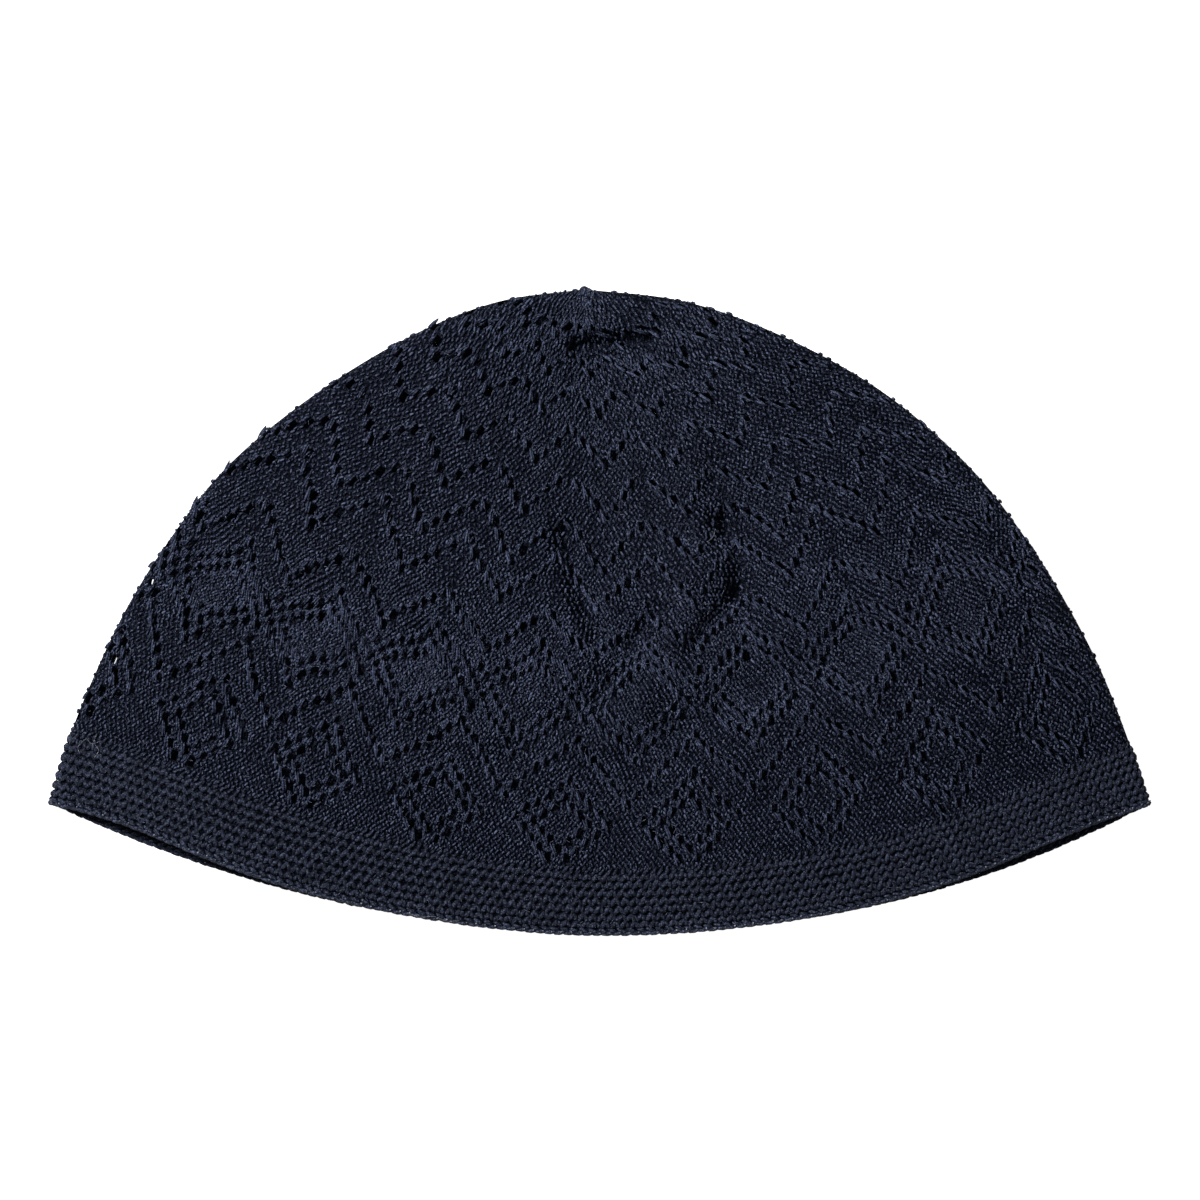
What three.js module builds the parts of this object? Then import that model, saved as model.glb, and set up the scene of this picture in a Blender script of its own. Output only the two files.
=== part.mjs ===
// A knitted kufi lying flat on its back layer, folded in two layers. Millimetres, +Z up.
// +X runs from the left fold to the right one, +Y from the mouth up to the gathered tip.
// Each piece is a closed wall: its outer skin follows one surface, coverAt, and its inner skin lies
// one thickness inside it, so the hollow stays open from the mouth to the tip.
import * as THREE from "three";

const LACE_THICKNESS = 1.6;
const BAND_THICKNESS = 2.0;
const CHAIN_THICKNESS = 2.3; // the edge chain is rolled, so this is its height along the wall too
const SEAM_GAP = 0.3;
const BAND_TOP = 17.4; // from the mouth's edge up the wall, edge chain included
const MIDDLE_LENGTH = 150.8; // from the mouth's edge to the tip, down the middle
const FOLD_RADIUS = 3.2; // outer radius where the front layer turns into the back one
const PUFF_REACH = 27; // how far in from a fold the front layer has risen most of its height
const PUFF_POWER = 1.3;
const PRESS_FADE = 12; // dents and ridges die out this near to a fold

// The two folds in plan, from the mouth's corners up to the tip, where they meet.
const FOLD_OUTLINE = [
  { y: -45.1, left: -130.0, right: 130.0 },
  { y: -30.0, left: -125.6, right: 125.0 },
  { y: -13.8, left: -118.6, right: 118.2 },
  { y: 0.4, left: -112.0, right: 110.9 },
  { y: 14.5, left: -103.2, right: 102.4 },
  { y: 33.4, left: -88.9, right: 87.9 },
  { y: 52.2, left: -66.0, right: 66.0 },
  { y: 66.4, left: -41.4, right: 39.5 },
  { y: 73.0, left: -23.5, right: 19.5 },
];
const TIP = { x: -3.6, y: 75.7 };

// The mouth's edge on each layer: its lowest point, and how square its curve is.
const FRONT_MOUTH = { x: 0.5, y: -75.1, power: 1.88 };
const BACK_MOUTH = { x: 0.5, y: -75.4, power: 2.3 };

// How far the front layer stands above the folded edges, by distance up from the mouth.
const RISE = [
  { up: 0, height: 8.0 },
  { up: 17, height: 12.5 },
  { up: 45, height: 18.5 },
  { up: 80, height: 20.0 },
  { up: 115, height: 17.0 },
  { up: 138, height: 12.5 },
  { up: 150.8, height: 9.0 },
];

// Creases and rolls of the front layer, each pressed along a bent line in plan.
const PRESSES = [
  { name: "dent under the tip", from: [-20, 58], via: [0, 65], to: [22, 56], spread: 4.4, height: -3.6 },
  { name: "roll over the dent", from: [-20, 67], via: [0, 73], to: [22, 66], spread: 4.4, height: 2.2 },
  { name: "right crease, top", from: [23, 36], via: [30, 24], to: [32, 4], spread: 4.0, height: -5.5 },
  { name: "right crease, foot", from: [32, 2], via: [28, -8], to: [15, -19], spread: 4.0, height: -3.8 },
  { name: "ridge by the crease", from: [20, 34], via: [26, 8], to: [10, -20], spread: 4.2, height: 3.2 },
  { name: "left crease", from: [-8, 18], via: [-5, 4], to: [1, -7], spread: 4.0, height: -4.2 },
  { name: "left crease, tail", from: [1, -9], via: [3, -20], to: [-22, -34], spread: 4.0, height: -1.8 },
  { name: "left upper fold", from: [-95, -6], via: [-80, 0], to: [-64, 3], spread: 4.5, height: -1.4 },
  { name: "left lower fold", from: [-89, -26], via: [-56, -6], to: [-30, -9], spread: 4.5, height: -1.6 },
  { name: "left short fold", from: [-46, -26], via: [-36, -25], to: [-25, -21], spread: 4.0, height: -1.6 },
  { name: "right lower fold", from: [10, -33], via: [33, -20], to: [59, -7], spread: 4.5, height: -1.8 },
];

const OUTLINE_PARTS = 96; // straight parts that each fold is measured along
const PRESS_PARTS = 10;
const ACROSS_FRONT = 44;
const ACROSS_BACK = 32;
const LACE_ROWS = 23;
const BAND_ROWS = 3;
const CHAIN_SIDES = 8;
const FOLD_STEPS = [0.006, 0.017, 0.036]; // first places in from a fold, as shares of the half-width
const TIP_STEPS = [0.7, 2.0, 4.0, 7.5]; // first rows below the tip
const SMALL_STEP = 1e-3; // for slopes, in millimetres up and shares across

const TIP_KNOT = { radius: 1.5, height: 1.0, sides: 14, rounds: 4 };

const COLORS = { lace: 0x1f2430, band: 0x1d222d, chain: 0x232833, knot: 0x1f2430 };

// ---- Plan: the folded outline and the courses between its two sides ----

function foldLine(side) {
  const corners = FOLD_OUTLINE.map((row) => new THREE.Vector3(row[side], row.y, 0));
  corners.push(new THREE.Vector3(TIP.x, TIP.y, 0));
  const curve = new THREE.CatmullRomCurve3(corners, false, "centripetal");
  return curve.getSpacedPoints(OUTLINE_PARTS).map((p) => new THREE.Vector2(p.x, p.y));
}

const FOLD_LINES = { left: foldLine("left"), right: foldLine("right") };

function lineLength(points) {
  let length = 0;
  for (let i = 1; i < points.length; i++) length += points[i].distanceTo(points[i - 1]);
  return length;
}

const FOLD_LENGTHS = { left: lineLength(FOLD_LINES.left), right: lineLength(FOLD_LINES.right) };

// The place on a fold that belongs to a height up the wall. The band keeps its height all round,
// and the lace above it takes up the fold's extra length.
function foldPlace(side, up) {
  const extra = (FOLD_LENGTHS[side] - BAND_TOP) / (MIDDLE_LENGTH - BAND_TOP);
  const along = up <= BAND_TOP ? up : BAND_TOP + (up - BAND_TOP) * extra;
  const place = Math.min(along / FOLD_LENGTHS[side], 1) * OUTLINE_PARTS;
  const i = Math.min(Math.floor(place), OUTLINE_PARTS - 1);
  return FOLD_LINES[side][i].clone().lerp(FOLD_LINES[side][i + 1], place - i);
}

// across is -1 at the left fold, 0 in the middle and 1 at the right fold.
function planPlace(mouth, across, up) {
  const fold = foldPlace(across < 0 ? "left" : "right", up);
  const share = up / MIDDLE_LENGTH;
  const middleX = mouth.x + (TIP.x - mouth.x) * share;
  const middleY = mouth.y + (TIP.y - mouth.y) * share;
  const reach = Math.abs(across);
  return new THREE.Vector2(
    middleX + (fold.x - middleX) * reach,
    middleY + (fold.y - middleY) * reach ** mouth.power,
  );
}

function distanceToLine(place, points) {
  let nearest = Infinity;
  const step = new THREE.Vector2();
  const away = new THREE.Vector2();
  for (let i = 1; i < points.length; i++) {
    step.subVectors(points[i], points[i - 1]);
    away.subVectors(place, points[i - 1]);
    const share = THREE.MathUtils.clamp(away.dot(step) / step.lengthSq(), 0, 1);
    nearest = Math.min(nearest, away.addScaledVector(step, -share).length());
  }
  return nearest;
}

function distanceToFolds(place) {
  return Math.min(
    distanceToLine(place, FOLD_LINES.left),
    distanceToLine(place, FOLD_LINES.right),
  );
}

// ---- Height: rounded folds, the puffed front layer and its creases ----

function riseAt(up) {
  const i = Math.max(1, RISE.findIndex((row) => up <= row.up));
  const low = RISE[i - 1];
  const high = RISE[i];
  return THREE.MathUtils.mapLinear(up, low.up, high.up, low.height, high.height);
}

const PRESS_LINES = PRESSES.map((press) =>
  new THREE.QuadraticBezierCurve(
    new THREE.Vector2(...press.from),
    new THREE.Vector2(...press.via),
    new THREE.Vector2(...press.to),
  ).getPoints(PRESS_PARTS),
);

function pressAt(place) {
  let height = 0;
  PRESSES.forEach((press, i) => {
    const away = distanceToLine(place, PRESS_LINES[i]) / press.spread;
    height += press.height * Math.exp((-away * away) / 2);
  });
  return height;
}

// How far round the fold's quarter circle a point is, from 0 at the fold's crest to 1 where it ends.
function roundOver(inFromFold) {
  const left = 1 - Math.min(inFromFold / FOLD_RADIUS, 1);
  return Math.sqrt(1 - left * left);
}

function coverAt(layer, across, up) {
  const place = planPlace(layer === "front" ? FRONT_MOUTH : BACK_MOUTH, across, up);
  const inFromFold = Math.abs(across) === 1 ? 0 : distanceToFolds(place);
  const turn = FOLD_RADIUS * roundOver(inFromFold);
  if (layer === "back") return new THREE.Vector3(place.x, place.y, FOLD_RADIUS - turn);
  const puff = 1 - Math.exp(-((inFromFold / PUFF_REACH) ** PUFF_POWER));
  const fade = THREE.MathUtils.smoothstep(inFromFold, 0, PRESS_FADE);
  const height = FOLD_RADIUS + turn + riseAt(up) * puff + pressAt(place) * fade;
  return new THREE.Vector3(place.x, place.y, height);
}

// The outward direction of the cover, and the direction up the wall.
function cutAcross(layer, across, up) {
  const higher = Math.min(up + SMALL_STEP, MIDDLE_LENGTH);
  const lower = Math.max(up - SMALL_STEP, 0);
  const upward = coverAt(layer, across, higher).sub(coverAt(layer, across, lower)).normalize();
  if (Math.abs(across) === 1) {
    const outward = new THREE.Vector3(upward.y, -upward.x, 0).multiplyScalar(across);
    return { upward, outward };
  }
  const sideways = coverAt(layer, across + SMALL_STEP, up).sub(
    coverAt(layer, across - SMALL_STEP, up),
  );
  const outward = new THREE.Vector3().crossVectors(sideways, upward).normalize();
  if (layer === "back") outward.negate();
  return { upward, outward };
}

// ---- Rows of points round the cap ----

function acrossPlaces(steps) {
  const places = [-1, ...FOLD_STEPS.map((step) => step - 1)];
  const start = places.at(-1);
  const even = steps - 2 * FOLD_STEPS.length;
  for (let i = 1; i < even; i++) places.push(start - (2 * start * i) / even);
  places.push(...FOLD_STEPS.map((step) => 1 - step).reverse());
  return places;
}

// Once round the cap: across the front from the left fold, and back across the back layer.
const ROUND_PLACES = [
  ...acrossPlaces(ACROSS_FRONT).map((across) => ({ layer: "front", across })),
  { layer: "back", across: 1 },
  ...acrossPlaces(ACROSS_BACK)
    .slice(1)
    .reverse()
    .map((across) => ({ layer: "back", across })),
];

// The row at a height up the wall, at a depth in from the outer skin.
function rowAt(up, depth) {
  return ROUND_PLACES.map(({ layer, across }) => {
    const { outward } = cutAcross(layer, across, up);
    return coverAt(layer, across, up).addScaledVector(outward, -depth);
  });
}

function evenSteps(from, to, count) {
  return Array.from({ length: count + 1 }, (_, i) => from + ((to - from) * i) / count);
}

// ---- Closed skins over rows ----

// Joins each row to the next and the last to the first. openAfter is the row that isn't joined to its
// next one, because a tip point closes each of the two.
function skinOver(rows, openAfter = -1, tips = []) {
  const count = rows[0].length;
  const points = rows.flat();
  const faces = [];
  rows.forEach((row, r) => {
    const next = (r + 1) % rows.length;
    for (let i = 0; i < count; i++) {
      const j = (i + 1) % count;
      const [a, b] = [r * count + i, r * count + j];
      const [c, d] = [next * count + j, next * count + i];
      if (r === openAfter) {
        faces.push(a, b, points.length, d, points.length + 1, c);
      } else {
        faces.push(a, b, c, a, c, d);
      }
    }
  });
  const geometry = new THREE.BufferGeometry().setFromPoints([...points, ...tips]);
  geometry.setIndex(faces);
  geometry.computeVertexNormals();
  return geometry;
}

// ---- The pieces ----

function piece(name, geometry, color) {
  const material = new THREE.MeshStandardMaterial({ color, roughness: 0.9, metalness: 0 });
  const mesh = new THREE.Mesh(geometry, material);
  mesh.name = name;
  return mesh;
}

function crown() {
  const start = BAND_TOP + SEAM_GAP;
  const even = LACE_ROWS - TIP_STEPS.length;
  const ups = [
    ...evenSteps(start, MIDDLE_LENGTH - TIP_STEPS.at(-1), even),
    ...TIP_STEPS.slice(0, -1)
      .reverse()
      .map((step) => MIDDLE_LENGTH - step),
  ];
  const outer = ups.map((up) => rowAt(up, 0));
  const inner = ups.map((up) => rowAt(up, LACE_THICKNESS)).reverse();
  const outerTip = new THREE.Vector3(TIP.x, TIP.y, FOLD_RADIUS);
  const innerTip = new THREE.Vector3(TIP.x, TIP.y - LACE_THICKNESS, FOLD_RADIUS);
  const geometry = skinOver([...outer, ...inner], outer.length - 1, [outerTip, innerTip]);
  return piece("crown", geometry, COLORS.lace);
}

function band() {
  const ups = evenSteps(CHAIN_THICKNESS + SEAM_GAP, BAND_TOP, BAND_ROWS);
  const outer = ups.map((up) => rowAt(up, 0));
  const inner = ups.map((up) => rowAt(up, BAND_THICKNESS)).reverse();
  return piece("band", skinOver([...outer, ...inner]), COLORS.band);
}

// A rolled chain: an eight-sided ring with a flat side outwards, so that it rests on a flat.
function edgeChain() {
  const middle = CHAIN_THICKNESS / 2;
  const corner = middle / Math.cos(Math.PI / CHAIN_SIDES);
  const rows = [];
  for (let side = 0; side < CHAIN_SIDES; side++) {
    const angle = ((2 * side + 1) * Math.PI) / CHAIN_SIDES;
    rows.push(
      ROUND_PLACES.map(({ layer, across }) => {
        const { outward, upward } = cutAcross(layer, across, middle);
        return coverAt(layer, across, middle)
          .addScaledVector(outward, corner * Math.cos(angle) - middle)
          .addScaledVector(upward, corner * Math.sin(angle));
      }),
    );
  }
  return piece("edge_chain", skinOver(rows), COLORS.chain);
}

// The drawn-up last stitches, a low knot on the crest of the fold.
function tipKnot() {
  const profile = [new THREE.Vector2(0, 0)];
  for (let i = 0; i <= TIP_KNOT.rounds; i++) {
    const angle = (i / TIP_KNOT.rounds) * (Math.PI / 2);
    profile.push(
      new THREE.Vector2(TIP_KNOT.radius * Math.cos(angle), TIP_KNOT.height * Math.sin(angle)),
    );
  }
  profile.at(-1).x = 0;
  const knot = piece("tip_knot", new THREE.LatheGeometry(profile, TIP_KNOT.sides), COLORS.knot);
  knot.position.set(TIP.x, TIP.y + SEAM_GAP, FOLD_RADIUS);
  return knot;
}

const kufi = new THREE.Group();
kufi.name = "kufi";
kufi.add(crown(), band(), edgeChain(), tipKnot());

// The origin is the middle of the footprint, on the surface that the cap lies on.
kufi.updateMatrixWorld(true);
const extent = new THREE.Box3().setFromObject(kufi, true);
const centre = extent.getCenter(new THREE.Vector3());
kufi.position.set(-centre.x, -centre.y, -extent.min.z);

export default kufi;
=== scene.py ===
"""A knitted kufi lying flat in two layers: its lace crown, its close band, its edge chain and its tip.

The tables that give the cap its form are in millimetres, as the part's own are. Everything that is
built from them is in metres, in the part's frame.
"""

import math

import bmesh
import bpy
import numpy as np
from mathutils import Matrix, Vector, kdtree


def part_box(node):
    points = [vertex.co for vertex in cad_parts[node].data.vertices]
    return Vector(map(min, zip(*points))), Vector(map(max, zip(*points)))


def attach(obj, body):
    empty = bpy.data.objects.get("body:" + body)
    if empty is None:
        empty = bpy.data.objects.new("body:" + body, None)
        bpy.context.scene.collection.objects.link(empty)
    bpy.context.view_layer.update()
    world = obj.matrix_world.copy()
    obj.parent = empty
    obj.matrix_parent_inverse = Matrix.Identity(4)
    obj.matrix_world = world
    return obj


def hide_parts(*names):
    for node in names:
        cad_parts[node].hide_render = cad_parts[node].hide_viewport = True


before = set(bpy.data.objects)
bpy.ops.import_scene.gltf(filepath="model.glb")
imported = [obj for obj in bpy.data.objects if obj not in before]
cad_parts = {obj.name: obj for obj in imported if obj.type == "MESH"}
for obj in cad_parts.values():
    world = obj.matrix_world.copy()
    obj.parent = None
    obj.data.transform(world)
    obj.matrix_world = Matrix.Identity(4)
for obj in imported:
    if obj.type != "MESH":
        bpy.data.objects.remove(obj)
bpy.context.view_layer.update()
chance = np.random.default_rng(7)

MM = 0.001


def table(names, *rows):
    """Rows of values under the same names."""
    return [dict(zip(names.split(), row)) for row in rows]


# ---- The cap's form: the part's, with a finer outline, mouth and creases ----

BAND_TOP = 17.4  # from the mouth's edge up the wall
SEAM_GAP = 0.3
MIDDLE_LENGTH = 150.8  # from the mouth's edge to the tip, down the middle
FOLD_RADIUS = 3.2
PUFF_REACH = 27  # how far in from a fold the front layer has risen most of its height
PUFF_POWER = 1.3
PRESS_FADE = 12  # creases die out this near to a fold

FOLD_OUTLINE = table(
    "y left right",
    (-46.2, -130.0, 130.0),
    (-30.0, -125.2, 124.6),
    (-13.8, -118.6, 118.2),
    (0.4, -111.7, 110.9),
    (14.5, -103.0, 102.3),
    (33.4, -88.4, 87.7),
    (52.2, -65.4, 65.8),
    (66.4, -41.0, 39.2),
    (73.0, -23.0, 19.2),
)
TIP = (-3.6, 75.7)

# The mouth's edge on each layer: its lowest point, and how square its curve is on either side. From
# MOUTH_FADE up, the rows have SQUARENESS.
MOUTH = {
    "front": {"x": 0.5, "y": -76.2, "left": 1.78, "right": 2.02},
    "back": {"x": 0.5, "y": -76.5, "left": 2.0, "right": 2.3},
}
SQUARENESS = 1.88
MOUTH_FADE = 60

# How far the front edge is drawn up near each corner, which leaves a slit over the back layer.
SLIT = {"left": 2.7, "right": 2.1, "at": 0.86, "spread": 0.20, "fade": 34, "corner_power": 20}

# How far the front layer stands above the folded edges.
RISE = table(
    "up height",
    (0, 8.0),
    (17, 12.5),
    (45, 18.5),
    (80, 20.0),
    (115, 17.0),
    (138, 12.5),
    (150.8, 9.0),
)

# Creases and rolls of the front layer. Each is pressed along a bent line in plan.
PRESSES = table(
    "name line spread height",
    ("dent under the tip", [(-5.5, 60.8), (2, 62.2), (11.5, 63.2)], 1.6, -4.3),
    ("hollow by the dent", [(-20, 58), (0, 62), (20, 56)], 3.6, -1.3),
    ("roll over the dent", [(-15, 66), (0, 68.5), (17, 65)], 3.0, 1.6),
    ("right crease, top", [(28, 20), (34, 12), (31.5, 4)], 1.7, -3.4),
    ("right crease, foot", [(31.5, 3), (28, 0), (22, -8)], 1.8, -2.2),
    ("right crease, head", [(25, 27), (28, 24), (29, 19)], 2.2, -1.6),
    ("inner crease", [(13, -1), (4, -12), (0, -20)], 1.7, -2.2),
    ("ridge by the crease", [(20, 34), (26, 8), (10, -20)], 4.0, 2.6),
    ("left crease", [(-8, 18), (-6, 8), (-1, -6)], 1.8, -3.8),
    ("left crease, tail", [(1, -9), (3, -20), (-22, -34)], 3.2, -1.8),
    ("left upper fold", [(-95, -6), (-80, 0), (-64, 3)], 3.6, -1.4),
    ("left lower fold", [(-89, -26), (-56, -6), (-30, -9)], 3.6, -1.6),
    ("left short fold", [(-46, -26), (-36, -25), (-25, -21)], 3.2, -1.6),
    ("right lower fold", [(10, -33), (33, -20), (59, -7)], 3.6, -1.8),
)

# ---- The knitting ----

WALES = 61  # rows of the lace's chart between the band and the tip
LEG_ROWS = {"front": 166, "back": 122}  # rows of legs over the same height
LEGS_PER_STITCH = {"front": 0.84, "back": 0.72}
STAGGER = -0.48  # how far each row of legs is set over, in legs
FIRST_LEG_ROW = 0.2  # where the first row of legs lies, in rows
BAND_COURSE = 2.24

# How the rows of the lace lie: the distance of a row up the wall at the left, the middle and the
# right of the front layer. The cap doesn't lie quite evenly.
ROW_LEVELS = table(
    "row left middle right",
    (0, 19.4, 15.7, 15.4),
    (7, 34.0, 29.8, 31.2),
    (11, 42.2, 38.6, 39.2),
    (14, 48.8, 45.6, 45.2),
    (22, 63.0, 65.2, 62.0),
    (28, 75.8, 75.4, 73.2),
    (32, 85.0, 84.8, 81.4),
    (37, 96.5, 97.2, 91.6),
    (42, 107.4, 109.2, 102.0),
    (47, 118.0, 121.0, 113.8),
    (51, 127.2, 131.0, 123.0),
    (55, 135.6, 139.6, 131.6),
    (61, 150.6, 150.6, 150.6),
)
LEVEL_PLACES = [-2.0, -0.6, 0.0, 0.6, 2.0]

# Where the lowest corner of the first, the fourth and the seventh repeat stands, as a share of half
# the front layer, by distance up the wall.
REPEATS = table(
    "up first fourth seventh",
    (0, -0.800, -0.088, 0.632),
    (17, -0.785, -0.076, 0.643),
    (31, -0.762, -0.062, 0.650),
    (47, -0.734, -0.036, 0.674),
    (63, -0.708, -0.006, 0.699),
    (75, -0.728, 0.008, 0.705),
    (84, -0.732, 0.024, 0.736),
    (96, -0.752, 0.036, 0.758),
    (107, -0.785, 0.048, 0.776),
    (118, -0.830, 0.050, 0.800),
    (128, -0.905, 0.034, 0.860),
    (137, -0.990, 0.015, 1.020),
    (151, -1.150, 0.000, 1.150),
)

# How many stitches a repeat has, row by row: the lace narrows towards the tip.
REPEAT_STITCHES = table(
    "row stitches",
    (0, 28),
    (26, 28),
    (29, 25),
    (32, 22),
    (37, 18),
    (42, 15),
    (47, 12),
    (51, 10),
    (55, 8),
    (61, 3),
)

# The chart of the eyelets. Each row of the lace has an eyelet every other stitch along its zigzags.
# A repeat is counted in pairs of stitches from its corner axis, 7 pairs to either side.
RING_MIDDLE = 5  # the row of the middle of the little diamond over the band
RING_REACH = 5  # the outer round of the diamond; the inner one is two rows in
PEAKED_ROWS = [14, 18, 20]  # zigzags that peak on the corner axis, by the row of their peak
NOTCHED_ROWS = [16, 18, 22, 28, 32, 37, 42, 47, 51, 55]  # zigzags with their low corner there
REPEAT_NUMBERS = range(-7, 14)  # enough to go round the cap; 0 to 6 are on the front
EYELET_SIZES = 0.80, 1.12
EYELET_FULLNESS = table("share size", (0.2, 1.20), (0.6, 0.98))  # larger at the left of a layer

# How far the rows stray half-way between the corner axes: the diamonds there lie flatter.
STRAYS = table(
    "row up",
    (3, 0.0),
    (7, 1.2),
    (13, 2.4),
    (18, -0.8),
    (23, -4.0),
    (29, -1.7),
    (35, 0.0),
)

# The table that a layer's surface is kept in, and the rougher one it is measured on.
ROWS_KEPT = 252
SHARES_KEPT = 481
ROUGH_COLUMNS = 401
CROWDING = 1.6  # how much closer the rough columns stand at the folds
CURVE_STEPS = 40
FOLD_STEPS = 97


def between(rows, key, at):
    """A column of a table at places between its rows. A row's place is its first value."""
    first = next(iter(rows[0]))
    return np.interp(at, [row[first] for row in rows], [row[key] for row in rows])


def smooth(value, low, high):
    share = np.clip((value - low) / (high - low), 0, 1)
    return share * share * (3 - 2 * share)


def even_line(points, count):
    """count places at equal distances along a line of points."""
    points = np.array(points, float)
    steps = np.hypot(*np.diff(points, axis=0).T)
    along = np.concatenate([[0], np.cumsum(steps)])
    wanted = np.linspace(0, along[-1], count)
    return np.stack([np.interp(wanted, along, points[:, i]) for i in (0, 1)], 1), along[-1]


def blend(p, q, t, low, high):
    return p + (q - p) * (t - low) / (high - low)


def curve_through(corners):
    """A centripetal Catmull-Rom line through the corners."""
    corners = np.array(corners, float)
    first = 2 * corners[0] - corners[1]
    last = 2 * corners[-1] - corners[-2]
    ends = np.vstack([first, corners, last])
    found = []
    for i in range(len(corners) - 1):
        a, b, c, d = ends[i : i + 4]
        knots = [0.0]
        for p, q in ((a, b), (b, c), (c, d)):
            knots.append(knots[-1] + math.sqrt(math.hypot(*(q - p))))
        k0, k1, k2, k3 = knots
        for t in np.linspace(k1, k2, CURVE_STEPS, endpoint=False):
            ab, bc, cd = blend(a, b, t, k0, k1), blend(b, c, t, k1, k2), blend(c, d, t, k2, k3)
            abc, bcd = blend(ab, bc, t, k0, k2), blend(bc, cd, t, k1, k3)
            found.append(blend(abc, bcd, t, k1, k2))
    return found + [corners[-1]]


def fold_line(side):
    corners = [(row[side], row["y"]) for row in FOLD_OUTLINE] + [TIP]
    return even_line(curve_through(corners), FOLD_STEPS)


FOLDS = {side: fold_line(side) for side in ("left", "right")}


def fold_place(side, up):
    line, length = FOLDS[side]
    extra = (length - BAND_TOP) / (MIDDLE_LENGTH - BAND_TOP)
    along = np.where(up <= BAND_TOP, up, BAND_TOP + (up - BAND_TOP) * extra)
    share = np.clip(along / length, 0, 1) * (len(line) - 1)
    places = np.arange(len(line))
    return np.interp(share, places, line[:, 0]), np.interp(share, places, line[:, 1])


def distance_to(x, y, line):
    nearest = np.full(x.shape, 1e9)
    for (ax, ay), (bx, by) in zip(line[:-1], line[1:]):
        dx, dy = bx - ax, by - ay
        share = np.clip(((x - ax) * dx + (y - ay) * dy) / (dx * dx + dy * dy), 0, 1)
        nearest = np.minimum(nearest, np.hypot(x - ax - share * dx, y - ay - share * dy))
    return nearest


def bent_line(corners):
    a, b, c = (np.array(p, float) for p in corners)
    share = np.linspace(0, 1, 13)[:, None]
    return (1 - share) ** 2 * a + 2 * share * (1 - share) * b + share**2 * c


def cover(layer, across, up):
    """The cap's outer surface. across is -1 at the left fold and 1 at the right one."""
    mouth = MOUTH[layer]
    left_x, left_y = fold_place("left", up)
    right_x, right_y = fold_place("right", up)
    fold_x = np.where(across < 0, left_x, right_x)
    fold_y = np.where(across < 0, left_y, right_y)
    share = up / MIDDLE_LENGTH
    middle_x = mouth["x"] + (TIP[0] - mouth["x"]) * share
    middle_y = mouth["y"] + (TIP[1] - mouth["y"]) * share
    reach = np.abs(across)
    x = middle_x + (fold_x - middle_x) * reach
    square = np.where(across < 0, mouth["left"], mouth["right"])
    power = SQUARENESS + (square - SQUARENESS) * np.maximum(1 - up / MOUTH_FADE, 0)
    y = middle_y + (fold_y - middle_y) * reach**power
    if layer == "front":
        drawn = np.where(across < 0, SLIT["left"], SLIT["right"])
        drawn = drawn * np.exp(-(((reach - SLIT["at"]) / SLIT["spread"]) ** 2))
        y += drawn * (1 - reach ** SLIT["corner_power"]) * np.maximum(1 - up / SLIT["fade"], 0)
    inward = np.minimum(distance_to(x, y, FOLDS["left"][0]), distance_to(x, y, FOLDS["right"][0]))
    inward = np.where(reach == 1, 0, inward)
    left = 1 - np.minimum(inward / FOLD_RADIUS, 1)
    turn = FOLD_RADIUS * np.sqrt(1 - left * left)
    if layer == "back":
        return np.stack([x, y, FOLD_RADIUS - turn], -1)
    puff = 1 - np.exp(-((inward / PUFF_REACH) ** PUFF_POWER))
    height = FOLD_RADIUS + turn + between(RISE, "height", up) * puff
    for press in PRESSES:
        away = distance_to(x, y, bent_line(press["line"])) / press["spread"]
        height += press["height"] * np.exp(-away * away / 2) * smooth(inward, 0, PRESS_FADE)
    return np.stack([x, y, height], -1)


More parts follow.
